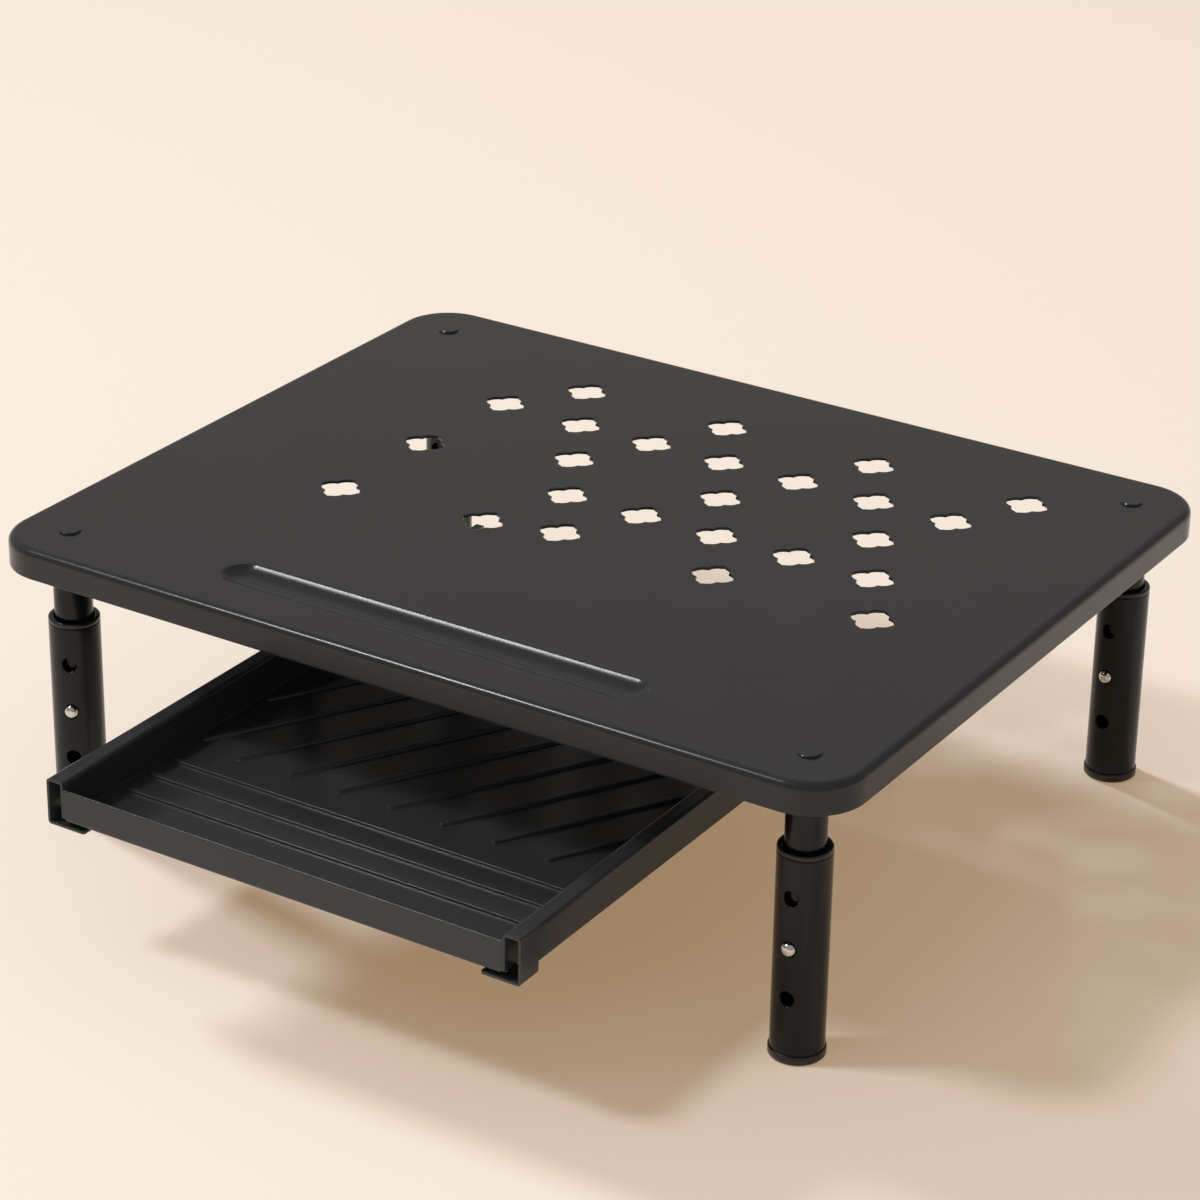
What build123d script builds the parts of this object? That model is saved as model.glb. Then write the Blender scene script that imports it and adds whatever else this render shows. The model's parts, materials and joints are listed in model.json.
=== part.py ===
import os
from math import cos, radians, sin, sqrt, tan

from build123d import *

os.makedirs("parts", exist_ok=True)

# Top plate, one drawn sheet with a folded skirt
plate_width = 370.0
plate_depth = 300.0
top_height = 119.0
sheet = 1.2
skirt_height = 12.0
corner_radius = 22.0
fold_radius = 3.0

# Phone slot pressed into the plate along the front edge
slot_length = 185.0
slot_width = 17.5
slot_depth = 2.8
slot_inset = 29.5
slot_taper = 50.0
slot_lip = 0.8
slot_root = 10.0

# Vents, four-lobed cut-outs on a staggered lattice
vent_pitch = 34.0
row_pitch = 31.2
vent_middle = (27.0, 39.6)
lobe_radius = 4.4
lobe_offset = 3.9
lobe_tip = 0.6
single_vents = [(-101.0, -36.0), (-99.5, 19.5), (-96.0, 72.5), (-37.5, -30.5)]

# Legs, a thin upper tube inside a thick lower one
leg_inset = 23.0
upper_radius = 7.5
lower_radius = 10.0
tube_wall = 1.2
upper_bottom = 34.0
lower_top = 81.8
hole_radius = 3.0
hole_pitch = 20.0
button_height = 46.5
leg_turns = {"fl": 24.0, "fr": 2.0, "rl": 2.0, "rr": -5.0}
slide_gap = 0.3
inside_gap = 0.05

collar_lip = 2.2
collar_sleeve = 9.5
collar_round = 0.9
foot_radius = 10.5
foot_height = 3.6
foot_plug = 7.4
foot_plug_wall = 2.5
foot_bevel = 0.6
foot_edge = 0.4
guide_flange = 2.5
guide_plug = 3.5
guide_wall = 2.0

bolt_radius = 3.0
bolt_head_radius = 4.25
bolt_head = 0.8
bolt_edge = 0.4
bolt_length = 12.0
plug_length = 15.0

# Snap button and its leaf spring
button_gap = 0.3
button_dome = 1.7
button_flange_radius = 3.4
button_flange = 0.8
button_round = 2.2
leaf_thickness = 0.5
leaf_width = 4.5
leaf_rise = 24.0
leaf_tail = 3.5
leaf_knee = 4.5
leaf_bend = 1.2

# Drawer tray, a folded sheet with channel sides
tray_sheet = 1.0
tray_width = 206.0
tray_length = 262.0
tray_open = 66.0
tray_setback = 1.0
rim_drop = 50.0
rim_width = 7.5
rim_round = 1.2
outer_wall = 13.5
floor_drop = 15.0
front_drop = 3.0
tab_length = 11.0
tab_setback = 0.4
tongue_length = 16.5
tongue_drop = 18.5
tongue_round = 5.0
front_edge = 0.4

# Pressed ribs in the tray floor
rib_width = 3.2
rib_height = 1.1
rib_round = 0.8
rib_margin = 3.0
cross_rib_first = 31.0
cross_rib_pitch = 13.7
slant_rib_first = 72.0
slant_rib_pitch = 23.0
slant_angle = 60.0

# Hanger rails, studs and stops below the plate
rail_sheet = 1.5
rail_gap = 3.2
rail_front = -58.0
rail_back = 59.0
rail_clearance = 1.5
rail_bend = 2.0
strap_width = 11.0
strap_foot = 16.5
strap_fronts = [-58.0, 48.0]
strap_lap = 4.0
glide_width = 3.7
glide_height = 7.0
glide_cover = 1.6
stud_radius = 2.0
stud_length = 8.0
nut_height = 4.8
nut_flange = 1.0
nut_flange_radius = 4.5
nut_half_width = 3.5
stop_pull = 45.0
stop_gap = 0.3
stop_reach = 2.7
stop_height = 5.5
stop_head_radius = 3.6
stop_head = 2.4

# Derived levels and places
skirt_bottom = top_height - skirt_height
plate_under = top_height - sheet
slot_y = slot_inset - plate_depth / 2
slot_side = sheet * (1 - sin(radians(slot_taper))) / cos(radians(slot_taper))
leg_x = plate_width / 2 - leg_inset
leg_y = plate_depth / 2 - leg_inset
leg_places = {
    "fl": (-leg_x, -leg_y),
    "fr": (leg_x, -leg_y),
    "rl": (-leg_x, leg_y),
    "rr": (leg_x, leg_y),
}
upper_inner = upper_radius - tube_wall
lower_inner = lower_radius - tube_wall
rim_top = top_height - rim_drop
rim_under = rim_top - tray_sheet
floor_top = rim_top - floor_drop
floor_bottom = floor_top - tray_sheet
wall_bottom = rim_top - outer_wall
front_top = rim_top - front_drop
tongue_bottom = rim_top - tongue_drop
tray_front = tray_setback - tray_open - plate_depth / 2
tray_back = tray_front + tray_length
wall_x = tray_width / 2
inner_x = wall_x - rim_width
web_x = wall_x + rail_gap
rail_bottom = wall_bottom - rail_clearance - rail_sheet
lip_x = inner_x + rim_width / 2
lip_top = rim_under - glide_cover
web_top = lip_top
stud_x = web_x + strap_foot / 2 + 1.0
stop_y = tray_back - tray_sheet - stop_pull - stop_gap - stud_radius
stop_z = rim_top - stop_height
tray_tab_y = stop_y - stud_radius - stop_gap - tray_open

# The part's origin is on the desk, below the middle of the whole footprint
footprint_shift = (tray_open - tray_setback) / 2


def outward(turn):
    return (sin(radians(turn)), -cos(radians(turn)), 0)


def button_plane(corner, reach):
    """Plane square to the snap button's axis, reach away from the leg's axis."""
    x, y = leg_places[corner]
    turn = leg_turns[corner]
    out = outward(turn)
    origin = (x + reach * out[0], y + reach * out[1], button_height)
    return Plane(origin=origin, x_dir=(cos(radians(turn)), sin(radians(turn)), 0), z_dir=out)


def leaf_plane(corner):
    """Upright plane through the leg's axis and the snap button's axis."""
    x, y = leg_places[corner]
    turn = leg_turns[corner]
    return Plane(
        origin=(x, y, 0),
        x_dir=outward(turn),
        z_dir=(-cos(radians(turn)), -sin(radians(turn)), 0),
    )


def save(made, name):
    placed = made.part.moved(Location((0, footprint_shift, 0)))
    placed.label = name
    export_step(placed, f"parts/{name}.step")


# Top plate
def vent_place(column, row):
    x = vent_middle[0] + vent_pitch * (column - row / 2)
    return (x, vent_middle[1] + row_pitch * row)


vent_places = [vent_place(column, row) for column in (-2, 0, 2) for row in range(-2, 3)]
vent_places += [vent_place(column, -1) for column in (-1, 1)]
vent_places += [vent_place(column, 1) for column in (-1, 1, 3)]
vent_places += [vent_place(4, 2)]
vent_places += single_vents

with BuildSketch() as vent:
    Circle(lobe_offset)
    with PolarLocations(lobe_offset, 4):
        Circle(lobe_radius)
    with PolarLocations(lobe_offset + lobe_radius, 4):
        Polygon((lobe_tip, 0), (-0.3, 1.5), (-0.3, -1.5), align=None)

with BuildPart() as top_plate:
    with BuildSketch(Plane.XY.offset(skirt_bottom)):
        RectangleRounded(plate_width, plate_depth, corner_radius)
    extrude(amount=skirt_height)
    fillet(top_plate.faces().sort_by(Axis.Z)[-1].edges(), fold_radius)
    offset(amount=-sheet, openings=top_plate.faces().sort_by(Axis.Z)[0])
    with BuildSketch(Plane.XY.offset(plate_under)):
        with Locations((0, slot_y)):
            SlotOverall(slot_length + 2 * slot_side, slot_width + 2 * slot_side)
    extrude(amount=-slot_depth, taper=slot_taper)
    with BuildSketch(Plane.XY.offset(top_height)):
        with Locations((0, slot_y)):
            SlotOverall(slot_length, slot_width)
    extrude(amount=-slot_depth, taper=slot_taper, mode=Mode.SUBTRACT)
    slot_edges = [e for e in top_plate.edges() if abs(e.center().Y - slot_y) < slot_width]
    fillet([e for e in slot_edges if abs(e.center().Z - top_height) < 0.01], slot_lip)
    slot_edges = [e for e in top_plate.edges() if abs(e.center().Y - slot_y) < slot_width]
    fillet([e for e in slot_edges if abs(e.center().Z - top_height + slot_depth) < 0.01], slot_root)
    with BuildSketch(Plane.XY.offset(top_height)):
        with Locations(*vent_places):
            add(vent.sketch)
        with Locations(*leg_places.values()):
            Circle(bolt_radius + 0.2)
    extrude(amount=-2 * sheet, mode=Mode.SUBTRACT)
save(top_plate, "top_plate")

# Leg bolts and the threaded plugs in the upper tubes
with BuildPart() as leg_bolts:
    with BuildSketch(Plane.XY.offset(top_height)):
        with Locations(*leg_places.values()):
            Circle(bolt_head_radius)
    extrude(amount=bolt_head)
    chamfer(leg_bolts.edges().group_by(Axis.Z)[-1], bolt_edge)
    with BuildSketch(Plane.XY.offset(top_height)):
        with Locations(*leg_places.values()):
            Circle(bolt_radius)
    extrude(amount=-bolt_length)
save(leg_bolts, "leg_bolts")

with BuildPart() as leg_plugs:
    with BuildSketch(Plane.XY.offset(plate_under)):
        with Locations(*leg_places.values()):
            Circle(upper_inner - inside_gap)
            Circle(bolt_radius + inside_gap, mode=Mode.SUBTRACT)
    extrude(amount=-plug_length)
save(leg_plugs, "leg_plugs")

# End guides on the upper tubes
with BuildPart() as tube_guides:
    with BuildSketch(Plane.XY.offset(upper_bottom)):
        with Locations(*leg_places.values()):
            Circle(lower_inner - slide_gap)
    extrude(amount=-guide_flange)
    with BuildSketch(Plane.XY.offset(upper_bottom)):
        with Locations(*leg_places.values()):
            Circle(upper_inner - inside_gap)
    extrude(amount=guide_plug)
    with BuildSketch(Plane.XY.offset(upper_bottom + guide_plug)):
        with Locations(*leg_places.values()):
            Circle(upper_inner - guide_wall)
    extrude(amount=-guide_plug - guide_flange, mode=Mode.SUBTRACT)
save(tube_guides, "tube_guides")

# Leaf springs, bent strips that push the snap buttons out
flange_reach = sqrt(upper_inner**2 - button_flange_radius**2) - button_gap
button_base = flange_reach - button_flange
leaf_back = sqrt(upper_inner**2 - (leaf_width / 2) ** 2) - leaf_thickness / 2 - inside_gap
leaf_front = button_base - leaf_thickness / 2

with BuildPart() as leaf_springs:
    for corner in leg_places:
        with BuildSketch(leaf_plane(corner)):
            with BuildLine():
                FilletPolyline(
                    (leaf_front, button_height - leaf_tail),
                    (leaf_front, button_height + leaf_knee),
                    (-0.5, button_height + leaf_rise),
                    (-leaf_back, button_height + leaf_knee),
                    (-leaf_back, button_height - leaf_tail),
                    radius=leaf_bend,
                )
            trace(line_width=leaf_thickness)
        extrude(amount=leaf_width / 2, both=True)
save(leaf_springs, "leaf_springs")

# Each leg in turn: upper tube, lower tube, collar, foot and snap button
for corner, place in leg_places.items():
    with BuildPart() as upper_tube:
        with BuildSketch(Plane.XY.offset(upper_bottom)):
            with Locations(place):
                Circle(upper_radius)
                Circle(upper_inner, mode=Mode.SUBTRACT)
        extrude(amount=plate_under - upper_bottom)
        with BuildSketch(button_plane(corner, 0)):
            Circle(hole_radius)
        extrude(amount=upper_radius + 1, mode=Mode.SUBTRACT)
    save(upper_tube, f"upper_tube_{corner}")

    with BuildPart() as lower_tube:
        with BuildSketch(Plane.XY.offset(foot_height)):
            with Locations(place):
                Circle(lower_radius)
                Circle(lower_inner, mode=Mode.SUBTRACT)
        extrude(amount=lower_top - foot_height)
        with BuildSketch(button_plane(corner, 0)):
            with GridLocations(0, hole_pitch, 1, 3):
                Circle(hole_radius)
        extrude(amount=lower_radius + 1, mode=Mode.SUBTRACT)
    save(lower_tube, f"lower_tube_{corner}")

    with BuildPart() as collar:
        with BuildSketch(Plane.XY.offset(lower_top)):
            with Locations(place):
                Circle(lower_radius)
        extrude(amount=collar_lip)
        fillet(collar.edges().group_by(Axis.Z)[-1], collar_round)
        with BuildSketch(Plane.XY.offset(lower_top)):
            with Locations(place):
                Circle(lower_inner - inside_gap)
        extrude(amount=-collar_sleeve)
        with BuildSketch(Plane.XY.offset(lower_top + collar_lip)):
            with Locations(place):
                Circle(upper_radius + slide_gap)
        extrude(amount=-collar_lip - collar_sleeve, mode=Mode.SUBTRACT)
    save(collar, f"collar_{corner}")

    with BuildPart() as foot:
        with BuildSketch():
            with Locations(place):
                Circle(foot_radius)
        extrude(amount=foot_height)
        chamfer(foot.edges().group_by(Axis.Z)[0], foot_bevel)
        chamfer(foot.edges().group_by(Axis.Z)[-1], foot_edge)
        with BuildSketch(Plane.XY.offset(foot_height)):
            with Locations(place):
                Circle(lower_inner - inside_gap)
                Circle(lower_inner - foot_plug_wall, mode=Mode.SUBTRACT)
        extrude(amount=foot_plug)
    save(foot, f"foot_{corner}")

    with BuildPart() as snap_button:
        with BuildSketch(button_plane(corner, button_base)):
            Circle(hole_radius - button_gap)
        extrude(amount=lower_radius + button_dome - button_base)
        out = Vector(*outward(leg_turns[corner]))
        fillet(snap_button.edges().sort_by(Axis((0, 0, 0), out))[-1], button_round)
        with BuildSketch(button_plane(corner, button_base)):
            Circle(button_flange_radius)
        extrude(amount=button_flange)
    save(snap_button, f"snap_button_{corner}")

# Drawer tray
with BuildPart() as drawer_tray:
    with BuildSketch(Plane.XZ.offset(-tray_back)):
        with Locations((0, floor_bottom + tray_sheet / 2)):
            Rectangle(2 * (inner_x + tray_sheet), tray_sheet)
        for side in (-1, 1):
            with Locations((side * (inner_x + tray_sheet / 2), (floor_bottom + rim_top) / 2)):
                Rectangle(tray_sheet, rim_top - floor_bottom)
            with Locations((side * (inner_x + rim_width / 2), rim_top - tray_sheet / 2)):
                Rectangle(rim_width, tray_sheet)
            with Locations((side * (wall_x - tray_sheet / 2), (wall_bottom + rim_top) / 2)):
                Rectangle(tray_sheet, rim_top - wall_bottom)
    extrude(amount=tray_length)
    lengthwise = drawer_tray.edges().filter_by(Axis.Y)
    fillet([e for e in lengthwise if abs(e.center().Z - rim_top) < 0.01], rim_round)
    for end in (tray_front, tray_back - tray_sheet):
        with BuildSketch(Plane.XZ.offset(-end - tray_sheet)):
            with Locations((0, (floor_bottom + front_top) / 2)):
                Rectangle(2 * inner_x, front_top - floor_bottom)
        extrude(amount=tray_sheet)
    front_edges = drawer_tray.edges().filter_by(Axis.X)
    fillet([e for e in front_edges if abs(e.center().Z - front_top) < 0.01], front_edge)

    ribs = []
    for number in range(3):
        for end, way in ((tray_front, 1), (tray_back, -1)):
            rib_y = end + way * (cross_rib_first + number * cross_rib_pitch)
            ribs.append((0.0, rib_y, 0.0, 2 * (inner_x - rib_margin)))
    field_x = inner_x - rib_margin
    field_front = tray_front + slant_rib_first
    field_back = tray_back - slant_rib_first
    lean = tan(radians(slant_angle))
    for number in range(-4, 10):
        start = -inner_x + number * slant_rib_pitch
        low_x = max(start, -field_x)
        high_x = min(start + (field_back - field_front) / lean, field_x)
        if high_x - low_x > rib_width:
            rib_x = (low_x + high_x) / 2
            rib_y = field_front + (rib_x - start) * lean
            ribs.append((rib_x, rib_y, slant_angle, (high_x - low_x) / cos(radians(slant_angle))))
    with BuildSketch(Plane.XY.offset(floor_top)):
        for rib_x, rib_y, angle, length in ribs:
            with Locations(Location((rib_x, rib_y), angle)):
                SlotOverall(length, rib_width)
    extrude(amount=rib_height)
    rib_tops = drawer_tray.edges().filter_by_position(
        Axis.Z, floor_top + rib_height - 0.01, floor_top + rib_height + 0.01
    )
    fillet(rib_tops, rib_round)
    with BuildSketch(Plane.XY.offset(floor_bottom)):
        for rib_x, rib_y, angle, length in ribs:
            with Locations(Location((rib_x, rib_y), angle)):
                SlotOverall(length - 1.6, rib_width - 1.6)
    extrude(amount=rib_height, mode=Mode.SUBTRACT)

    for side in (-1, 1):
        tab_middle = tray_front + tab_setback + tab_length / 2
        with BuildSketch(Plane.XY.offset(tongue_bottom)):
            with Locations((side * (wall_x - tray_sheet / 2), tab_middle)):
                Rectangle(tray_sheet, tab_length)
        extrude(amount=wall_bottom - tongue_bottom)
        with BuildSketch(Plane.XY.offset(tongue_bottom)) as tongue:
            with Locations((side * (wall_x - tongue_length / 2), tab_middle)):
                Rectangle(tongue_length, tab_length)
            fillet([v for v in tongue.vertices() if abs(v.X) < wall_x - 1], tongue_round)
        extrude(amount=tray_sheet)
        for tab_y in (tray_tab_y - tray_sheet / 2, tray_back - tray_sheet / 2):
            with BuildSketch(Plane.XY.offset(stop_z - stop_reach)):
                with Locations((side * (wall_x + stop_reach / 2), tab_y)):
                    Rectangle(stop_reach, tray_sheet)
            extrude(amount=2 * stop_reach)
save(drawer_tray, "drawer_tray")

# Hanger rails
with BuildPart() as rail_right:
    with BuildSketch(Plane.XZ.offset(-rail_back)) as rail_profile:
        with BuildLine():
            Polyline(
                (lip_x - rail_sheet / 2, lip_top),
                (lip_x - rail_sheet / 2, rail_bottom),
                (web_x + rail_sheet, rail_bottom),
                (web_x + rail_sheet, web_top),
                (web_x, web_top),
                (web_x, rail_bottom + rail_sheet),
                (lip_x + rail_sheet / 2, rail_bottom + rail_sheet),
                (lip_x + rail_sheet / 2, lip_top),
                close=True,
            )
        make_face()
    extrude(amount=rail_back - rail_front)
    bends = rail_right.edges().filter_by(Axis.Y)
    fillet([e for e in bends if abs(e.center().Z - rail_bottom) < 0.01], rail_bend)
    bends = rail_right.edges().filter_by(Axis.Y)
    fillet(
        [e for e in bends if abs(e.center().Z - rail_bottom - rail_sheet) < 0.01],
        rail_bend - rail_sheet,
    )
    for strap_front in strap_fronts:
        with BuildSketch(Plane.XZ.offset(-strap_front - strap_width)):
            with BuildLine():
                Polyline(
                    (web_x, web_top - strap_lap),
                    (web_x + rail_sheet, web_top - strap_lap),
                    (web_x + rail_sheet, plate_under - rail_sheet),
                    (web_x + strap_foot, plate_under - rail_sheet),
                    (web_x + strap_foot, plate_under),
                    (web_x, plate_under),
                    close=True,
                )
            make_face()
        extrude(amount=strap_width)
    with BuildSketch(Plane.XY.offset(plate_under)):
        with Locations(*[(stud_x, strap_front + strap_width / 2) for strap_front in strap_fronts]):
            Circle(stud_radius + 0.2)
    extrude(amount=-2 * rail_sheet, mode=Mode.SUBTRACT)
    with BuildSketch(Plane.YZ.offset(web_x - 1)):
        with Locations((stop_y, stop_z)):
            Circle(stud_radius + inside_gap)
    extrude(amount=2 * rail_sheet, mode=Mode.SUBTRACT)
save(rail_right, "rail_right")

with BuildPart() as rail_left:
    mirror(rail_right.part, about=Plane.YZ)
save(rail_left, "rail_left")

# Nylon glides on the rails' lips
with BuildPart() as glide_right:
    with BuildSketch(Plane.XZ.offset(-rail_back)):
        with Locations((lip_x, rim_under - glide_height / 2)):
            Rectangle(glide_width, glide_height)
        with Locations((lip_x, rim_under - glide_height)):
            Rectangle(rail_sheet, 2 * (glide_height - glide_cover), mode=Mode.SUBTRACT)
    extrude(amount=rail_back - rail_front)
save(glide_right, "glide_right")

with BuildPart() as glide_left:
    mirror(glide_right.part, about=Plane.YZ)
save(glide_left, "glide_left")

# Weld studs, flange nuts and stop screws
stud_places = [
    (side * stud_x, strap_front + strap_width / 2)
    for side in (-1, 1)
    for strap_front in strap_fronts
]
with BuildPart() as rail_studs:
    with BuildSketch(Plane.XY.offset(plate_under)):
        with Locations(*stud_places):
            Circle(stud_radius)
    extrude(amount=-stud_length)
save(rail_studs, "rail_studs")

with BuildPart() as rail_nuts:
    with BuildSketch(Plane.XY.offset(plate_under - rail_sheet)):
        with Locations(*stud_places):
            Circle(nut_flange_radius)
    extrude(amount=-nut_flange)
    with BuildSketch(Plane.XY.offset(plate_under - rail_sheet)):
        with Locations(*stud_places):
            RegularPolygon(nut_half_width, 6, major_radius=False)
    extrude(amount=-nut_height)
    with BuildSketch(Plane.XY.offset(plate_under - rail_sheet)):
        with Locations(*stud_places):
            Circle(stud_radius + inside_gap)
    extrude(amount=-nut_height, mode=Mode.SUBTRACT)
save(rail_nuts, "rail_nuts")

with BuildPart() as stop_screws:
    for side in (-1, 1):
        with BuildSketch(Plane.YZ.offset(side * (web_x - stop_reach))):
            with Locations((stop_y, stop_z)):
                Circle(stud_radius)
        extrude(amount=side * (stop_reach + rail_sheet))
        with BuildSketch(Plane.YZ.offset(side * (web_x + rail_sheet))):
            with Locations((stop_y, stop_z)):
                Circle(stop_head_radius)
        extrude(amount=side * stop_head)
save(stop_screws, "stop_screws")
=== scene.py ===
import json
from math import cos, pi, radians, sin, sqrt, tan

import bmesh
import bpy
from mathutils import Matrix, Vector


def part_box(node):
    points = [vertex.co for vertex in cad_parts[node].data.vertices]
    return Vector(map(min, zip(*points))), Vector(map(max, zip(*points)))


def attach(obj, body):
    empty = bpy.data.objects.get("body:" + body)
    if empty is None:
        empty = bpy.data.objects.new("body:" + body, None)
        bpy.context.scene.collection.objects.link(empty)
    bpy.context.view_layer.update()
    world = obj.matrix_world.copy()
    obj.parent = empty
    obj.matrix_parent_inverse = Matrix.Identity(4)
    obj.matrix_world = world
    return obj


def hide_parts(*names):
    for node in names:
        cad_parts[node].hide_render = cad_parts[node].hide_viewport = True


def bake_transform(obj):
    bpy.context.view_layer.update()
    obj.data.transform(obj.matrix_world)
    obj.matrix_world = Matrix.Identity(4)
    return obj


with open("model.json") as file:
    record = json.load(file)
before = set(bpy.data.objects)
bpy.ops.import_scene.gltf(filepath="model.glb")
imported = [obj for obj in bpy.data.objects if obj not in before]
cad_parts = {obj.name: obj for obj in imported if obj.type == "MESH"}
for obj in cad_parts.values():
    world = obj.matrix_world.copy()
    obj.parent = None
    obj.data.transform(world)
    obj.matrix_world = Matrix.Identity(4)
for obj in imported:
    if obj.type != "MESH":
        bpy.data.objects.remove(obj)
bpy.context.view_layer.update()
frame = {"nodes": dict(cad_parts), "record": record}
nodes = frame["nodes"]
scene = bpy.context.scene
mm = 0.001
tiny = 0.001 * mm  # points nearer than this count as one
crease = radians(55)  # edges that turn more than this stay sharp
quarters = [(x, y) for x in (-1, 1) for y in (-1, 1)]
plateLow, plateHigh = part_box("top_plate")
plateY = (plateLow.y + plateHigh.y) / 2
print("frame loaded:", len(nodes), "nodes")


def linear(hexColour):
    parts = [int(hexColour[i:i + 2], 16) / 255 for i in (1, 3, 5)]
    return [c / 12.92 if c <= 0.04045 else ((c + 0.055) / 1.055) ** 2.4 for c in parts] + [1.0]


def addNode(tree, kind, settings=(), links=()):
    node = tree.nodes.new(kind)
    for key, value in dict(settings).items():
        if isinstance(key, str) and hasattr(node, key):
            setattr(node, key, value)
        else:
            node.inputs[key].default_value = value
    for socket, source in dict(links).items():
        tree.links.new(source, node.inputs[socket])
    return node


def newMaterial(name):
    material = bpy.data.materials.new(name)
    material.use_nodes = True
    material.node_tree.nodes.clear()
    return material, material.node_tree


def addNoise(tree, size, detail):
    place = addNode(tree, "ShaderNodeTexCoord").outputs["Object"]
    noise = addNode(tree, "ShaderNodeTexNoise", {"Scale": 1 / size, "Detail": detail}, {"Vector": place})
    return noise.outputs["Fac"]


# Two tones and two roughnesses, each pair mixed by a noise
def addSurface(tree, look, toneNoise, sheenNoise):
    tones = {"data_type": "RGBA", 6: linear(look["dark"]), 7: linear(look["pale"])}
    tint = addNode(tree, "ShaderNodeMix", tones, {0: toneNoise})
    spread = {"From Min": 0.3, "From Max": 0.7, "To Min": look["smooth"], "To Max": look["rough"]}
    sheen = addNode(tree, "ShaderNodeMapRange", spread, {"Value": sheenNoise})
    return {"Base Color": tint.outputs[2], "Roughness": sheen.outputs["Result"]}


def addSkin(tree, look, noise):
    relief = {"Strength": look["bump"], "Distance": look["depth"]}
    return addNode(tree, "ShaderNodeBump", relief, {"Height": noise}).outputs["Normal"]


def closeMaterial(tree, settings, links):
    shader = addNode(tree, "ShaderNodeBsdfPrincipled", settings, links)
    addNode(tree, "ShaderNodeOutputMaterial", {}, {"Surface": shader.outputs["BSDF"]})


# Powder coat on steel: dust baked to a skin, so it is satin, faintly pebbled and a little cloudy
def powderCoat(name, look):
    material, tree = newMaterial(name)
    cloud, pebble = addNoise(tree, look["cloud"], 3.0), addNoise(tree, look["pebble"], 2.0)
    links = addSurface(tree, look, cloud, pebble)
    links["Normal"] = addSkin(tree, look, pebble)
    closeMaterial(tree, {"IOR": 1.5, "Specular IOR Level": look["specular"]}, links)
    return material


# Moulded plastic: the mould's fine spark grain leaves a soft broken gloss
def mouldedPlastic(name, look):
    material, tree = newMaterial(name)
    grain = addNoise(tree, look["grain"], 2.0)
    links = addSurface(tree, look, grain, grain)
    links["Normal"] = addSkin(tree, look, grain)
    closeMaterial(tree, {"IOR": 1.5}, links)
    return material


# Plated or plain steel: bright metal with a faint cloud in its polish
def platedSteel(name, look):
    material, tree = newMaterial(name)
    cloud = addNoise(tree, look["cloud"], 4.0)
    closeMaterial(tree, {"Metallic": 1.0}, addSurface(tree, look, cloud, cloud))
    return material


# pebbles are drawn about twice their size
sheetLook = {
    "smooth": 0.19, "rough": 0.25, "specular": 0.34,
    "cloud": 45 * mm, "pebble": 0.9 * mm, "bump": 0.03, "depth": 0.03 * mm}
plateCoat = powderCoat("satinPowderCoat", {"dark": "#252526", "pale": "#2a2a2b", **sheetLook})
# the drawer and rails take the plate's black coat, painted lighter: painted light that brightens the drawer's
# shaded floor and walls
trayCoatPaintedLight = powderCoat("trayPowderCoatPaintedLight", {"dark": "#323334", "pale": "#373839", **sheetLook})
tubeCoat = powderCoat("tubePowderCoat", {
    "dark": "#0b0c0e", "pale": "#0f1012", "smooth": 0.16, "rough": 0.22, "specular": 0.28,
    "cloud": 30 * mm, "pebble": 0.7 * mm, "bump": 0.025, "depth": 0.03 * mm})
collarNylon = mouldedPlastic("collarNylon", {
    "dark": "#080808", "pale": "#0c0c0c", "smooth": 0.2, "rough": 0.27,
    "grain": 0.4 * mm, "bump": 0.04, "depth": 0.02 * mm})
footPlastic = mouldedPlastic("footPlastic", {
    "dark": "#0a0a0a", "pale": "#0f0f0f", "smooth": 0.28, "rough": 0.38,
    "grain": 0.4 * mm, "bump": 0.08, "depth": 0.03 * mm})
glideNylon = mouldedPlastic("glideNylon", {
    "dark": "#cfcac0", "pale": "#d9d5cb", "smooth": 0.4, "rough": 0.5,
    "grain": 0.5 * mm, "bump": 0.05, "depth": 0.02 * mm})
buttonNickel = platedSteel("buttonNickel", {
    "dark": "#c9c8c6", "pale": "#dddcda", "smooth": 0.1, "rough": 0.18, "cloud": 1.5 * mm})
zincSteel = platedSteel("zincSteel", {
    "dark": "#a3a5a8", "pale": "#bcbec0", "smooth": 0.3, "rough": 0.42, "cloud": 2.5 * mm})
springSteel = platedSteel("springSteel", {
    "dark": "#7d7f82", "pale": "#95979a", "smooth": 0.28, "rough": 0.36, "cloud": 4 * mm})

finishes = {
    "plate_coat": plateCoat, "bolt_coat": plateCoat, "tube_coat": tubeCoat,
    "drawer_coat": trayCoatPaintedLight, "rail_coat": trayCoatPaintedLight, "collar_plastic": collarNylon,
    "foot_plastic": footPlastic, "black_plastic": footPlastic, "nylon": glideNylon,
    "button_nickel": buttonNickel, "spring_steel": springSteel, "plain_steel": zincSteel}
for part in frame["record"]["subparts"]:
    mesh = nodes[part["node"]].data
    mesh.materials.clear()
    mesh.materials.append(finishes[part["material_slot"]])
print("finishes:", len(finishes), "slots dressed")


def addPiece(name, bm, body, slot, stands=()):
    bmesh.ops.remove_doubles(bm, verts=bm.verts, dist=tiny / 2)
    bmesh.ops.recalc_face_normals(bm, faces=bm.faces)
    mesh = bpy.data.meshes.new(name)
    bm.to_mesh(mesh)
    bm.free()
    mesh.polygons.foreach_set("use_smooth", [True] * len(mesh.polygons))
    mesh.set_sharp_from_angle(angle=crease)
    mesh.materials.append(finishes[slot])
    piece = bpy.data.objects.new(name, mesh)
    scene.collection.objects.link(piece)
    if body:
        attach(piece, body)
    if stands:
        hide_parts(*stands)
    print("piece:", name, len(mesh.polygons), "faces")
    return piece


# Points (distance, height) along a bend, both ends included
def arc(across, height, radius, fromAngle, toAngle, count):
    angles = [fromAngle + (toAngle - fromAngle) * i / count for i in range(count + 1)]
    return [(across + radius * cos(a), height + radius * sin(a)) for a in angles]


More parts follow.
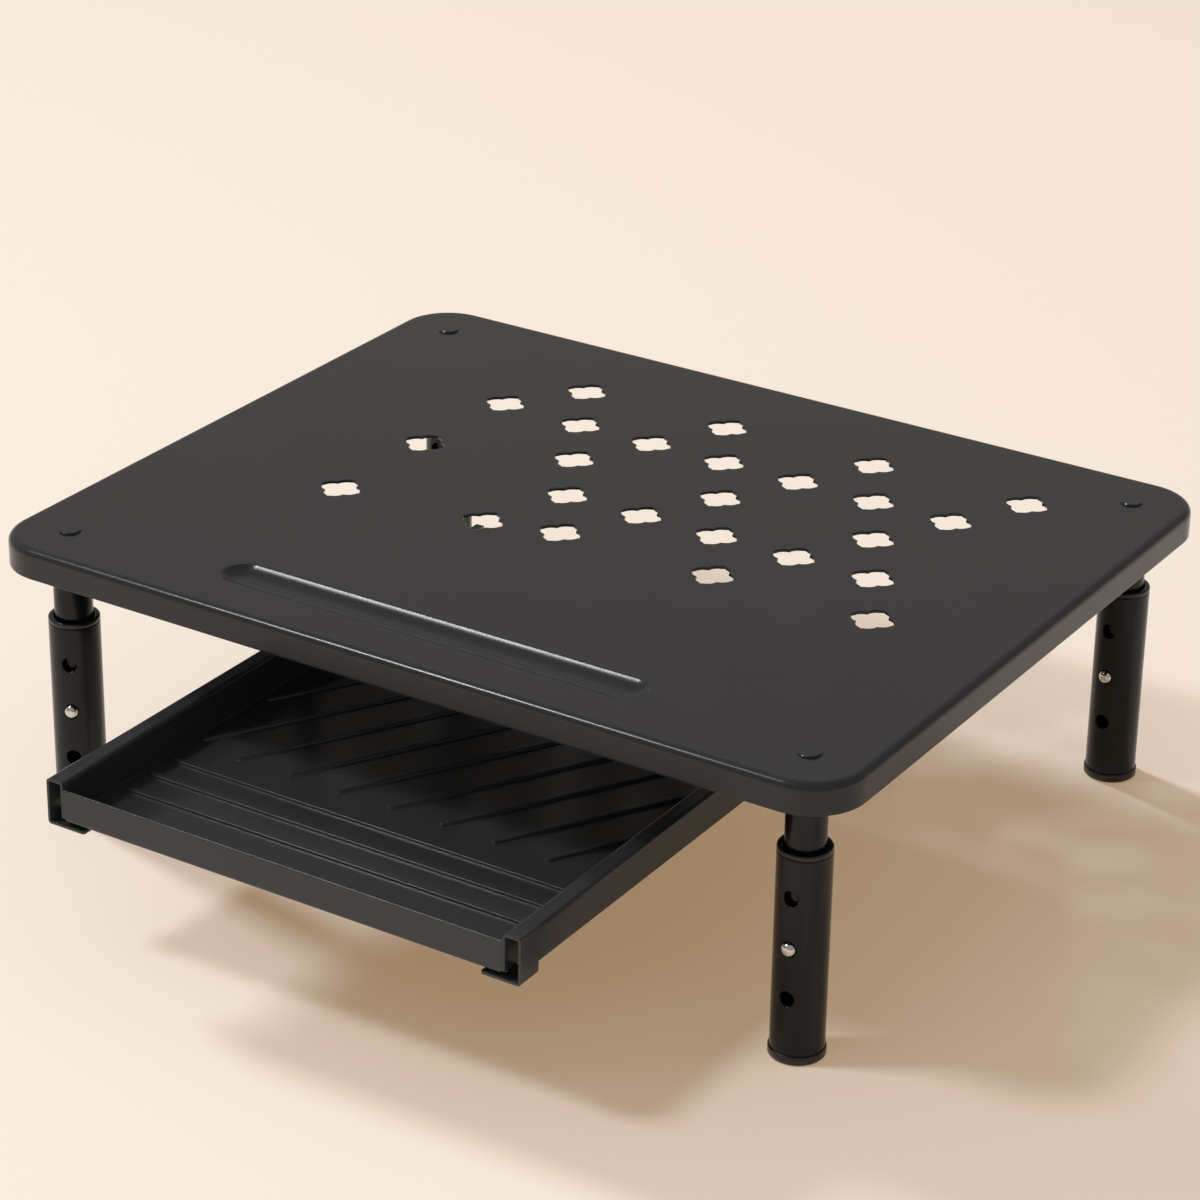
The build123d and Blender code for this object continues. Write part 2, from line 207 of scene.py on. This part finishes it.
# Section of a cut through a sheet, rounded on both faces: (distance beyond the cut, depth)
def cutPath(soft, thick, flat):
    ease = 0.3 * soft  # a rounded edge's middle point
    near = [(soft, 0), (ease, ease), (0, soft)]
    far = [(beyond, thick - deep) for beyond, deep in reversed(near)]
    return near + far + [(soft + flat, thick)]


def flatSheet(bm, size):
    made = bmesh.ops.create_grid(bm, x_segments=1, y_segments=1, size=0.5)["verts"]
    bmesh.ops.scale(bm, vec=(size[0], size[1], 1), verts=made)
    return made


def fillSheet(bm, edges):
    bmesh.ops.triangle_fill(bm, use_beauty=True, use_dissolve=False, edges=edges)


def roundOver(bm, geom, radius, steps, affect, clamp=False):
    bmesh.ops.bevel(bm, geom=geom, offset=radius, offset_type="OFFSET", affect=affect, segments=steps,
                    profile=0.5, material=-1, clamp_overlap=clamp)


# The edges of what was made last, without its faces
def ringOf(bm, before):
    verts = {v for v in bm.verts if v not in before}
    faces = [f for f in bm.faces if all(v in verts for v in f.verts)]
    bmesh.ops.delete(bm, geom=faces, context="FACES_ONLY")
    return [e for e in bm.edges if all(v in verts for v in e.verts)]


def sheetRing(bm, middle, size):
    before = set(bm.verts)
    bmesh.ops.translate(bm, vec=middle, verts=flatSheet(bm, size))
    return ringOf(bm, before)


def circleRing(bm, middle, radius, steps):
    before = set(bm.verts)
    made = bmesh.ops.create_circle(bm, cap_ends=False, segments=steps, radius=radius)["verts"]
    bmesh.ops.translate(bm, vec=middle, verts=made)
    return ringOf(bm, before)


# A rounded rectangle's edge, or a slot's where the radius is half the width
def roundedRing(bm, middle, size, radius, steps, turn=0.0):
    before = set(bm.verts)
    roundOver(bm, flatSheet(bm, size), radius, steps, "VERTICES")
    made = [v for v in bm.verts if v not in before]
    bmesh.ops.remove_doubles(bm, verts=made, dist=tiny)
    made = [v for v in bm.verts if v not in before]
    place = Matrix.Translation(middle) @ Matrix.Rotation(turn, 4, "Z")
    bmesh.ops.transform(bm, matrix=place, verts=made)
    return ringOf(bm, before)


# The next ring of a pressed or folded edge: each point keeps its bearing from the nearest middle
def nextRing(bm, ring, middles, reach, z):
    made = bmesh.ops.extrude_edge_only(bm, edges=ring)["geom"]
    verts = {g for g in made if isinstance(g, bmesh.types.BMVert)}
    for v in verts:
        middle = min(middles, key=lambda m: (v.co.xy - m).length_squared)
        away = (v.co.xy - middle).normalized()
        v.co.xy = middle + away * (reach(away) if callable(reach) else reach)
        v.co.z = z
    return [e for v in verts for e in v.link_edges if e.verts[0] == v and e.verts[1] in verts]


# Top plate: one drawn sheet with a folded skirt, a pressed slot and punched vents
plate = {
    "corner": 22 * mm, "fold": 3 * mm, "sheet": 1.2 * mm, "cutEdge": 0.3 * mm, "flat": 0.5 * mm,
    "slotSize": (185 * mm, 17.5 * mm), "slotDepth": 2.8 * mm, "slotInset": 29.5 * mm,
    "slotSlope": radians(40), "slotLip": 0.8 * mm, "slotRoot": 10 * mm,
    "bulgeHeel": 0.5 * mm, "bulgeTurn": 10.5 * mm,
    "lobe": 4.4 * mm, "lobeOffset": 3.9 * mm, "lobeTip": 0.6 * mm, "tipWidth": 0.12, "ventEdge": 0.25 * mm,
    "pitch": (34 * mm, 31.2 * mm), "ventMiddle": (27 * mm, 39.6 * mm),
    "singles": [(-101, -36), (-99.5, 19.5), (-96, 72.5), (-37.5, -30.5)],
    "boltHole": 3.2 * mm, "legInset": 23 * mm,
    "cornerSteps": 16, "slotSteps": 14, "ventSteps": 64, "holeSteps": 24}


def ventPlaces():
    grid = [(c, r) for c in (-2, 0, 2) for r in range(-2, 3)]
    grid += [(-1, -1), (1, -1), (-1, 1), (1, 1), (3, 1), (4, 2)]
    (middleX, middleY), (pitchX, pitchY) = plate["ventMiddle"], plate["pitch"]
    places = [Vector((middleX + pitchX * (c - r / 2), middleY + pitchY * r)) for c, r in grid]
    places += [Vector((x * mm, y * mm)) for x, y in plate["singles"]]
    return [p + Vector((0, plateY)) for p in places]


# Reach of the four-lobed vent's edge along a bearing, grown outwards by some rounding
def ventReach(grown):
    def reach(away):
        side = max(abs(away.x), abs(away.y))
        across = sqrt(max(0.0, 1 - side * side))
        lobe = plate["lobe"] + grown
        tip = plate["lobeTip"] * max(0.0, 1 - across / plate["tipWidth"])
        return plate["lobeOffset"] * side + sqrt(lobe ** 2 - (plate["lobeOffset"] * across) ** 2) + tip
    return reach


def boltReach(grown):
    return plate["boltHole"] + grown


# Section of the pressed slot from its rim to its floor: (distance beyond the slot's outline, height)
def pressPath(level, side, lip, root):
    slope, deep, flat = plate["slotSlope"], plate["slotDepth"], plate["flat"]
    lipEdge = side + lip * tan(slope / 2)
    rootEdge = side - deep / tan(slope) - root * tan(slope / 2)
    path = [(lipEdge + flat, level)]
    path += arc(lipEdge, level - lip, lip, pi / 2, pi / 2 + slope, 5)
    path += arc(rootEdge, level - deep + root, root, slope - pi / 2, -pi / 2, 10)
    return path + [(rootEdge - flat, level - deep)]


def buildPlate():
    bm = bmesh.new()
    top, bottom = plateHigh.z, plateLow.z
    sheet, fold, flat, corner = plate["sheet"], plate["fold"], plate["flat"], plate["corner"]
    width, depth = plateHigh.x - plateLow.x, plateHigh.y - plateLow.y
    under, skirtTop = top - sheet, top - fold

    # the fold and the skirt, from the top face round the cut edge to the underside
    start = fold + flat
    size = (width - 2 * start, depth - 2 * start)
    ring = roundedRing(bm, (0, plateY, top), size, corner - start, plate["cornerSteps"])
    upper = list(ring)
    edge = plate["cutEdge"]
    outer = arc(-fold, skirtTop, fold, pi / 2, 0, 6) + [(0, skirtTop - flat), (0, bottom + edge + flat)]
    outer += [(-deep, bottom + beyond) for beyond, deep in cutPath(edge, sheet, flat)[:-1]]
    outer += [(-sheet, skirtTop - flat)] + arc(-fold, skirtTop, fold - sheet, 0, pi / 2, 4)
    outer += [(-start, under)]
    middles = [Vector((x * (width / 2 - corner), plateY + y * (depth / 2 - corner))) for x, y in quarters]
    for grown, z in outer:
        ring = nextRing(bm, ring, middles, corner + grown, z)
    lower = list(ring)

    length, broad = plate["slotSize"]
    slotY = plateY - depth / 2 + plate["slotInset"]
    ends = [Vector((x * (length - broad) / 2, slotY)) for x in (-1, 1)]
    side = sheet * tan(plate["slotSlope"] / 2)  # the underside keeps the sheet's thickness
    for level, grown, lip, root, rim in ((top, 0, plate["slotLip"], plate["slotRoot"], upper),
                                         (under, side, plate["bulgeHeel"], plate["bulgeTurn"], lower)):
        path = pressPath(level, grown, lip, root)
        start = path[0][0]
        size = (length + 2 * start, broad + 2 * start)
        ring = roundedRing(bm, (0, slotY, level), size, broad / 2 + start, plate["slotSteps"])
        rim += ring
        for grown, z in path[1:]:
            ring = nextRing(bm, ring, ends, broad / 2 + grown, z)
        bmesh.ops.edgeloop_fill(bm, edges=ring)

    soft = plate["ventEdge"]
    legX, legY = width / 2 - plate["legInset"], depth / 2 - plate["legInset"]
    cuts = [(place, plate["ventSteps"], ventReach) for place in ventPlaces()]
    cuts += [(Vector((x * legX, plateY + y * legY)), plate["holeSteps"], boltReach) for x, y in quarters]
    for place, steps, shape in cuts:
        seed = circleRing(bm, (place.x, place.y, top), plate["lobe"], steps)
        seedVerts = list({v for e in seed for v in e.verts})
        ring = nextRing(bm, seed, [place], shape(soft + flat), top)
        upper += ring
        bmesh.ops.delete(bm, geom=seedVerts, context="VERTS")
        for grown, deep in cutPath(soft, sheet, flat):
            ring = nextRing(bm, ring, [place], shape(grown), top - deep)
        lower += ring
    fillSheet(bm, upper)
    fillSheet(bm, lower)
    return bm


addPiece("plateTop", buildPlate(), "stand_top", "plate_coat", ["top_plate"])

# Drawer tray: one folded sheet, floor pressed with ribs, sides folded over into channels
tray = {
    "halfWidth": 103 * mm, "sheet": 1 * mm, "rim": 7.5 * mm, "rimBend": 1.4 * mm,
    "floorDrop": 15 * mm, "wall": 13.5 * mm, "frontDrop": 3 * mm, "wallRound": 0.42 * mm,
    "bend": 0.4 * mm, "flat": 0.4 * mm, "gap": 0.1 * mm, "cutEdge": 0.2 * mm,
    "tab": 11 * mm, "tongue": 16.5 * mm, "tongueDrop": 18.5 * mm, "tongueRound": 5 * mm,
    "ribWidth": 3.2 * mm, "ribHeight": 1.1 * mm, "ribMargin": 3 * mm,
    "ribFoot": 0.2 * mm, "ribCrown": 0.4 * mm, "ribLean": 0.15 * mm, "ribFlat": 0.15 * mm,
    "crossFirst": 31 * mm, "crossPitch": 13.7 * mm,
    "slantFirst": 72 * mm, "slantPitch": 23 * mm, "slant": radians(60),
    "ear": (2.7 * mm, 1 * mm, 5.4 * mm), "earDrop": 5.5 * mm, "earGap": 116.6 * mm, "earSink": 0.3 * mm}


# Middle, turn and length of each rib: three across at each end, slanted ones between
def ribPlaces(front, back, innerX):
    fieldX = innerX - tray["ribMargin"]
    ribs = []
    for number in range(3):
        for end, way in ((front, 1), (back, -1)):
            y = end + way * (tray["crossFirst"] + number * tray["crossPitch"])
            ribs.append((0.0, y, 0.0, 2 * fieldX))
    nearY, farY = front + tray["slantFirst"], back - tray["slantFirst"]
    lean = tan(tray["slant"])
    for number in range(-4, 10):
        start = -innerX + number * tray["slantPitch"]
        left = max(start, -fieldX)
        right = min(start + (farY - nearY) / lean, fieldX)
        if right - left > tray["ribWidth"]:
            x = (left + right) / 2
            length = (right - left) / cos(tray["slant"])
            ribs.append((x, nearY + (x - start) * lean, tray["slant"], length))
    return ribs


# Section of a pressed rib from its foot to its flat top: (distance in from its outline, rise)
def ribPath():
    foot, crown, high = tray["ribFoot"], tray["ribCrown"], tray["ribHeight"]
    path = arc(0, foot, foot, -pi / 2, radians(-15), 3)
    top = path[-1][0] + tray["ribLean"] + crown
    path += arc(top, high - crown, crown, radians(165), pi / 2, 5)
    return path + [(top + tray["ribFlat"], high)]


# Extrudes edges through a run of steps and gives back the last ones
def foldEdges(bm, edges, steps):
    for step in steps:
        made = bmesh.ops.extrude_edge_only(bm, edges=edges)["geom"]
        verts = {g for g in made if isinstance(g, bmesh.types.BMVert)}
        bmesh.ops.translate(bm, vec=step, verts=list(verts))
        edges = [e for e in bm.edges if e.verts[0] in verts and e.verts[1] in verts]
    return edges


def bendSteps(radius, along, towards, count=5):
    turns = [pi / 2 * i / count for i in range(count + 1)]
    path = [radius * (sin(a) * along + (1 - cos(a)) * towards) for a in turns]
    return [b - a for a, b in zip(path, path[1:])]


def straightSteps(length, along, flat):
    return [flat * along, (length - 2 * flat) * along, flat * along]


def edgesWhere(edges, test):
    return [e for e in edges if all(test(v.co) for v in e.verts)]


def openEdges(bm, test):
    return edgesWhere([e for e in bm.edges if e.is_boundary], test)


def buildTray():
    bm = bmesh.new()
    low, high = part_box("drawer_tray")
    front, back, rimTop = low.y, high.y, high.z
    sheet, bend, flat, rimBend = tray["sheet"], tray["bend"], tray["flat"], tray["rimBend"]
    wallX = tray["halfWidth"]
    innerX = wallX - tray["rim"]
    floorTop = rimTop - tray["floorDrop"]
    halfX = innerX - bend - flat
    nearY, farY = front + sheet + bend + flat, back - sheet - bend - flat
    up, down = Vector((0, 0, 1)), Vector((0, 0, -1))

    outline = sheetRing(bm, (0, (nearY + farY) / 2, floorTop), (2 * halfX, farY - nearY))
    edges = list(outline)
    half = tray["ribWidth"] / 2
    for x, y, turn, length in ribPlaces(front, back, innerX):
        size = (length + 2 * flat, 2 * (half + flat))
        ring = roundedRing(bm, (x, y, floorTop), size, half + flat, 8, turn)
        edges += ring
        along = Vector((cos(turn), sin(turn))) * (length / 2 - half)
        ends = [Vector((x, y)) - along, Vector((x, y)) + along]
        for inset, rise in ribPath():
            ring = nextRing(bm, ring, ends, half - inset, floorTop + rise)
        bmesh.ops.edgeloop_fill(bm, edges=ring)
    fillSheet(bm, edges)

    for side in (-1, 1):
        out = Vector((side, 0, 0))
        steps = [flat * out] + bendSteps(bend, out, up)
        steps += straightSteps(tray["floorDrop"] - bend - rimBend, up, flat) + bendSteps(rimBend, up, out)
        steps += straightSteps(tray["rim"] - 2 * rimBend, out, flat) + bendSteps(rimBend, out, down)
        steps += straightSteps(tray["wall"] - rimBend, down, flat)
        foldEdges(bm, edgesWhere(outline, lambda co: abs(co.x - side * halfX) < flat / 2), steps)
    for along, y0 in ((Vector((0, -1, 0)), nearY), (Vector((0, 1, 0)), farY)):
        steps = [flat * along] + bendSteps(bend, along, up)
        steps += straightSteps(tray["floorDrop"] - tray["frontDrop"] - bend, up, flat)
        foldEdges(bm, edgesWhere(outline, lambda co: abs(co.y - y0) < flat / 2), steps)
        # the sides run on to the tray's ends, and the end walls out to the sides
        ends = openEdges(bm, lambda co: abs(co.y - y0) < tiny and abs(co.x) > innerX - tiny)
        foldEdges(bm, ends, [(sheet + bend + flat) * along])
        wallY, wallFoot = y0 + (flat + bend) * along.y, floorTop + bend
        for side in (-1, 1):
            ends = openEdges(bm, lambda co: abs(co.y - wallY) < tiny and abs(co.x - side * halfX) < tiny
                             and co.z > wallFoot - tiny)
            foldEdges(bm, ends, [Vector((side * (bend + flat - tray["gap"]), 0, 0))])

    # corner tongues: the outer walls run down at the front and fold in below
    wallFoot, tabEnd = rimTop - tray["wall"], front + tray["tab"]
    faces = [f for f in bm.faces if all(abs(abs(v.co.x) - wallX) < tiny for v in f.verts)]
    geom = list({g for f in faces for g in [f, *f.edges, *f.verts]})
    bmesh.ops.bisect_plane(bm, geom=geom, plane_co=(0, tabEnd, 0), plane_no=(0, 1, 0), dist=tiny)
    for side in (-1, 1):
        inwards = Vector((-side, 0, 0))
        edge = openEdges(bm, lambda co: abs(co.x - side * wallX) < tiny and abs(co.z - wallFoot) < tiny
                         and co.y < tabEnd + 10 * tiny)
        steps = [(tray["tongueDrop"] - tray["wall"] - rimBend) * down] + bendSteps(rimBend, down, inwards)
        last = foldEdges(bm, edge, steps + [(tray["tongue"] - rimBend) * inwards])
        corners = list({v for e in last for v in e.verts})
        roundOver(bm, corners, tray["tongueRound"], 6, "VERTICES", True)

    # the sheet gets its thickness away from the side that is seen
    bmesh.ops.recalc_face_normals(bm, faces=bm.faces)
    spot = Vector((0, nearY + 4 * mm, floorTop))
    floorFace = min(bm.faces, key=lambda f: (f.calc_center_median() - spot).length)
    if floorFace.normal.z < 0:
        bmesh.ops.reverse_faces(bm, faces=bm.faces)
    bmesh.ops.solidify(bm, geom=bm.faces[:], thickness=sheet)

    # the end walls' top edges are rounded over
    wallTop = rimTop - tray["frontDrop"]
    edges = edgesWhere(bm.edges, lambda co: abs(co.z - wallTop) < 10 * tiny and abs(co.x) < innerX)
    edges = [e for e in edges if abs(e.verts[0].co.y - e.verts[1].co.y) < 10 * tiny]
    roundOver(bm, edges, tray["wallRound"], 3, "EDGES")

    # stop ears on the outer walls, at the back end and half way along
    reach, thick, tall = tray["ear"]
    sink = tray["earSink"]
    for x in (-wallX, wallX):
        for y in (back - thick / 2, back - thick / 2 - tray["earGap"]):
            made = bmesh.ops.create_cube(bm, size=1.0)["verts"]
            bmesh.ops.scale(bm, vec=(reach + sink, thick, tall), verts=made)
            middle = (x * (1 + (reach - sink) / (2 * wallX)), y, rimTop - tray["earDrop"])
            bmesh.ops.translate(bm, vec=middle, verts=made)
    return bm


traySkin = addPiece("drawerTray", buildTray(), "drawer", "drawer_coat", ["drawer_tray"])
cutEdges = traySkin.modifiers.new("cutEdges", "BEVEL")
cutEdges.width = tray["cutEdge"]
cutEdges.segments = 2
cutEdges.limit_method = "ANGLE"
cutEdges.angle_limit = crease


# Lathe: a profile of (radius, height) points turned about the upright axis in the middle of a box
def turnProfile(points, low, high, steps=72):
    bm = bmesh.new()
    verts = [bm.verts.new((r, 0, z)) for r, z in points]
    edges = [bm.edges.new(pair) for pair in zip(verts, verts[1:])]
    bmesh.ops.spin(bm, geom=verts + edges, axis=(0, 0, 1), cent=(0, 0, 0), angle=2 * pi, steps=steps,
                   use_merge=True)
    bmesh.ops.translate(bm, vec=((low.x + high.x) / 2, (low.y + high.y) / 2, 0), verts=bm.verts)
    return bm


# Leg tubes are rolled from a flat sheet with its holes in it
leg = {
    "wall": 1.2 * mm, "hole": 3 * mm, "holeSteps": 40, "strips": 90, "cutEdge": 0.35 * mm, "flat": 0.3 * mm,
    "button": 46.5 * mm, "pitch": 20 * mm, "turns": {"fl": 24, "fr": 2, "rl": 2, "rr": -5},
    "collarRound": 0.9 * mm, "collarInner": 0.6 * mm, "bore": 7.8 * mm, "seam": 0.25 * mm,
    "sleeve": 9.5 * mm, "sleeveRadius": 8.75 * mm,
    "footHeight": 3.6 * mm, "footBevel": 0.7 * mm, "footRound": 0.5 * mm, "plugBore": 6.3 * mm,
    "footRecess": 0.6 * mm, "footRim": 3.6 * mm, "recessRim": 4 * mm,
    "leafReach": 10 * mm, "leafApex": 0.5 * mm, "leafSheet": 0.5 * mm}


def rollTube(node, heights, turn):
    low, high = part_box(node)
    radius, middle = (high.x - low.x) / 2, (low + high) / 2
    around, strips = 2 * pi * radius, leg["strips"]
    wall, soft, flat, hole = leg["wall"], leg["cutEdge"], leg["flat"], leg["hole"]
    up, inwards = Vector((0, 1, 0)), Vector((0, 0, -1))
    bm = bmesh.new()
    outer = sheetRing(bm, (0, middle.z, 0), (around, high.z - low.z - 2 * (soft + flat)))
    inner = []
    for way in (-up, up):  # rounded ends, from the outer face over to the inner one
        edge = edgesWhere(outer, lambda co: (co.y - middle.z) * way.y > 0)
        steps = [flat * way] + bendSteps(soft, way, inwards, 3) + [(wall - 2 * soft) * inwards]
        inner += foldEdges(bm, edge, steps + bendSteps(soft, inwards, -way, 3) + [-flat * way])
    for side in (-1, 1):
        inner.append(bm.edges.new({v for e in inner for v in e.verts if v.co.x * side > 0}))
    for height in heights:
        ring = circleRing(bm, (0, height, 0), hole + soft + flat, leg["holeSteps"])
        outer += ring
        for grown, deep in cutPath(soft, wall, flat):
            ring = nextRing(bm, ring, [Vector((0, height))], hole + grown, -deep)
        inner += ring
    fillSheet(bm, outer)
    fillSheet(bm, inner)
    for number in range(1, strips):
        cut = (around * (number / strips - 0.5), 0, 0)
        geom = [*bm.verts, *bm.edges, *bm.faces]
        bmesh.ops.bisect_plane(bm, geom=geom, plane_co=cut, plane_no=(1, 0, 0), dist=tiny)
    for v in bm.verts:
        bearing, reach = v.co.x / radius + turn, radius + v.co.z
        v.co = (middle.x + reach * sin(bearing), middle.y - reach * cos(bearing), v.co.y)
    bmesh.ops.remove_doubles(bm, verts=bm.verts, dist=2 * tiny)
    return bm


for corner, degrees in leg["turns"].items():
    turn = radians(degrees)
    heights = [leg["button"] + k * leg["pitch"] for k in (-1, 0, 1)]
    for name, body, node, cuts in (("lowerTube.", "leg_" + corner, "lower_tube_" + corner, heights),
                                   ("upperTube.", "stand_top", "upper_tube_" + corner, heights[1:2])):
        addPiece(name + corner, rollTube(node, cuts, turn), body, "tube_coat", [node])

    low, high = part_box("collar_" + corner)
    outer, seat = (high.x - low.x) / 2, low.z + leg["sleeve"]
    big, small, bore, seam = leg["collarRound"], leg["collarInner"], leg["bore"], leg["seam"]
    profile = [(bore, low.z), (leg["sleeveRadius"], low.z), (leg["sleeveRadius"], seat)]
    profile += [(outer - seam, seat), (outer, seat + seam)]
    profile += arc(outer - big, high.z - big, big, 0, pi / 2, 5)
    profile += arc(bore + small, high.z - small, small, pi / 2, pi, 5) + [(bore, low.z)]
    bm = turnProfile(profile, low, high)
    addPiece("collar." + corner, bm, "leg_" + corner, "collar_plastic", ["collar_" + corner])

    low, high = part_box("foot_" + corner)
    outer, top = (high.x - low.x) / 2, low.z + leg["footHeight"]
    bevel, edge, recess = leg["footBevel"], leg["footRound"], low.z + leg["footRecess"]
    profile = [(0, recess), (outer - leg["recessRim"], recess), (outer - leg["footRim"], low.z)]
    profile += [(outer - bevel, low.z), (outer, low.z + bevel)]
    profile += arc(outer - edge, top - edge, edge, 0, pi / 2, 5)
    profile += [(leg["sleeveRadius"], top), (leg["sleeveRadius"], high.z)]
    profile += [(leg["plugBore"], high.z), (leg["plugBore"], top), (0, top)]
    bm = turnProfile(profile, low, high)
    addPiece("foot." + corner, bm, "leg_" + corner, "foot_plastic", ["foot_" + corner])

    # leaf spring: in use its front limb goes in with the button and its back limb stays on the tube; here
    # this tube's share of the springs' mesh is cut out and left in place
    low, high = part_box("upper_tube_" + corner)
    middle, out = (low + high) / 2, Vector((sin(turn), -cos(turn), 0))
    bm = bmesh.new()
    bm.from_mesh(nodes["leaf_springs"].data)
    others = [v for v in bm.verts if (v.co.xy - middle.xy).length > leg["leafReach"]]
    bmesh.ops.delete(bm, geom=others, context="VERTS")
    leaf = addPiece("leafSpring." + corner, bm, None, "spring_steel", ["leaf_springs"])
    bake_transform(leaf)

# Pale floor: near white paint, and a warm glow that only the view and the gloss see keeps its shadow light
ground = {
    "paint": "#f9f9f8", "rough": 0.8, "specular": 0.2, "glow": "#ffce92", "share": 0.29,
    "halfSize": 12.0, "drop": 0.05 * mm}
floorMaterial, floorTree = newMaterial("paleFloor")
floorPaint = addNode(floorTree, "ShaderNodeBsdfPrincipled", {
    "Base Color": linear(ground["paint"]), "Roughness": ground["rough"],
    "Specular IOR Level": ground["specular"]})
floorGlow = addNode(floorTree, "ShaderNodeEmission", {"Color": linear(ground["glow"]), "Strength": 1.0})
ray = addNode(floorTree, "ShaderNodeLightPath").outputs
seen = ray["Is Camera Ray"]
for other in ("Is Glossy Ray", "Is Transmission Ray"):
    seen = addNode(floorTree, "ShaderNodeMath", {"operation": "MAXIMUM"}, {0: seen, 1: ray[other]}).outputs[0]
share = addNode(floorTree, "ShaderNodeMath", {"operation": "MULTIPLY", 1: ground["share"]}, {0: seen})
floorFace = addNode(floorTree, "ShaderNodeMixShader", {}, {
    0: share.outputs[0], 1: floorPaint.outputs["BSDF"], 2: floorGlow.outputs["Emission"]})
addNode(floorTree, "ShaderNodeOutputMaterial", {}, {"Surface": floorFace.outputs["Shader"]})
floorMesh = bpy.data.meshes.new("floor")
bm = bmesh.new()
bmesh.ops.create_grid(bm, x_segments=1, y_segments=1, size=ground["halfSize"])
bmesh.ops.translate(bm, vec=(0, 0, -ground["drop"]), verts=bm.verts)
bm.to_mesh(floorMesh)
bm.free()
floorMesh.materials.append(floorMaterial)
floor = bpy.data.objects.new("floor", floorMesh)
scene.collection.objects.link(floor)
print("floor laid:", 2 * ground["halfSize"], "m across")

# Light: a soft sun from the left, a box light from the front left and a dim room
lights = {
    "sun": {"from": (-0.853, 0.18, 0.49), "settings": {"energy": 2.25, "angle": radians(9)}},
    "box": {"from": (-0.48, -0.33, 0.80), "settings": {"energy": 36.0, "shape": "SQUARE", "size": 0.5}},
    "boxDistance": 3.2, "room": (0.375, 0.355, 0.335, 1.0)}


def addLamp(name, kind):
    lamp = bpy.data.lights.new(name, kind)
    for key, value in lights[name]["settings"].items():
        setattr(lamp, key, value)
    holder = bpy.data.objects.new(name, lamp)
    holder.rotation_euler = Vector(lights[name]["from"]).to_track_quat("Z", "Y").to_euler()
    scene.collection.objects.link(holder)
    return holder


world = bpy.data.worlds.new("room")
world.use_nodes = True
world.node_tree.nodes["Background"].inputs["Color"].default_value = lights["room"]
scene.world = world
sun = addLamp("sun", "SUN")
sun.visible_glossy = False  # the box light alone shows in the gloss
box = addLamp("box", "AREA")
box.location = Vector(lights["box"]["from"]).normalized() * lights["boxDistance"]
scene.view_settings.view_transform = "Standard"
print("lights set: sun, box and room")

# Camera at the photograph's place, read from the plate's edges
view = {
    "azimuth": radians(32.1284), "elevation": radians(25.4321), "roll": radians(0.9297),
    "lens": 114.192, "sensor": 36, "distance": 1494.64 * mm,
    "aim": Vector((0, plateY, 60 * mm)), "slide": (-2.0989 * mm, 20.9706 * mm)}
level = Vector((cos(view["azimuth"]), sin(view["azimuth"]), 0))
away = Vector((level.y, -level.x, 0))
backward = cos(view["elevation"]) * away + Vector((0, 0, sin(view["elevation"])))
rightward = cos(view["roll"]) * level + sin(view["roll"]) * backward.cross(level)
upward = backward.cross(rightward)
eye = view["aim"] + rightward * view["slide"][0] + upward * view["slide"][1] + backward * view["distance"]
cameraData = bpy.data.cameras.new("camera")
cameraData.lens = view["lens"]
cameraData.sensor_width = view["sensor"]
camera = bpy.data.objects.new("camera", cameraData)
camera.matrix_world = Matrix((rightward, upward, backward)).transposed().to_4x4()
camera.location = eye
scene.collection.objects.link(camera)
scene.camera = camera
print("camera at", [round(c, 3) for c in eye])
